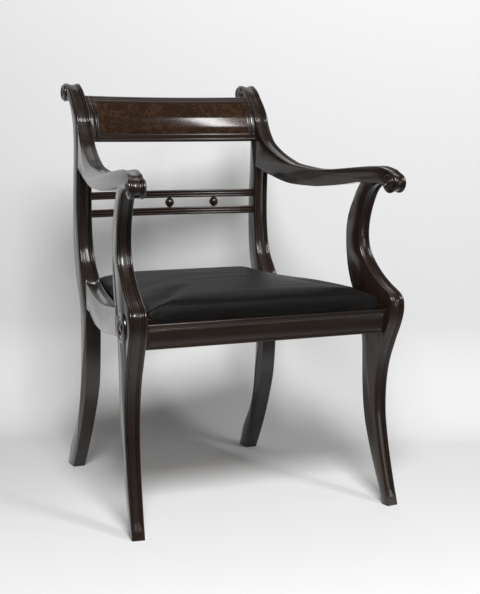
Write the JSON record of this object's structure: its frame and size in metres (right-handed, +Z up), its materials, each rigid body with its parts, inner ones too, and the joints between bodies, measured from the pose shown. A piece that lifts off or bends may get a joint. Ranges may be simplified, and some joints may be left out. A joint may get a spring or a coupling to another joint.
{
  "type": "klismos armchair",
  "caption": "Reeded wooden armchair with sabre legs, scrolled arms and crest, cross rods with balls and a loose seat.",
  "frame": {"origin": "middle of the chair on the floor, halfway between the crest scrolls and the toes", "axes": "+X to the sitter's left, -Y the way the chair faces, +Z up"},
  "size_m": [0.5856, 0.5939, 0.8379],
  "materials": {
    "mahogany": "dark French-polished mahogany",
    "crotch_mahogany": "polished flame veneer",
    "inner_wood": "plain unpolished beech",
    "haircloth": "black woven horsehair, slight sheen",
    "hessian": "plain jute",
    "curled_hair": "loose curled hair"
  },
  "bodies": {
    "frame": {"rear_post_left": "mahogany", "rear_post_right": "mahogany", "front_leg_left": "mahogany", "front_leg_right": "mahogany", "arm_support_left": "mahogany", "arm_support_right": "mahogany", "arm_left": "mahogany", "arm_right": "mahogany", "side_rail_left": "mahogany", "side_rail_right": "mahogany", "crest_roundel_outer_left": "mahogany", "crest_roundel_inner_left": "mahogany", "crest_roundel_outer_right": "mahogany", "crest_roundel_inner_right": "mahogany", "arm_roundel_outer_left": "mahogany", "arm_roundel_inner_left": "mahogany", "arm_roundel_outer_right": "mahogany", "arm_roundel_inner_right": "mahogany", "knee_roundel_left": "mahogany", "knee_roundel_right": "mahogany", "rear_corner_block_left": "inner_wood", "rear_corner_block_right": "inner_wood", "front_corner_block_left": "inner_wood", "front_corner_block_right": "inner_wood", "crest_rail": "mahogany", "crest_veneer": "crotch_mahogany", "upper_cross_rod": "mahogany", "lower_cross_rod": "mahogany", "ball_left": "mahogany", "ball_middle": "mahogany", "ball_right": "mahogany", "front_rail": "mahogany", "rear_rail": "mahogany"},
    "slip_seat": {"seat_frame_rear": "inner_wood", "seat_frame_front": "inner_wood", "seat_frame_left": "inner_wood", "seat_frame_right": "inner_wood", "lengthwise_web_1": "hessian", "lengthwise_web_2": "hessian", "lengthwise_web_3": "hessian", "crosswise_web_1": "hessian", "crosswise_web_2": "hessian", "crosswise_web_3": "hessian", "sackcloth": "hessian", "stuffing": "curled_hair", "haircloth_cover": "haircloth"}
  },
  "joints": [
    {"name": "slip_seat_lift", "type": "slide", "parent": "frame", "child": "slip_seat", "axis": [0, 0, 1], "range_m": [0, 0.2]}
  ]
}
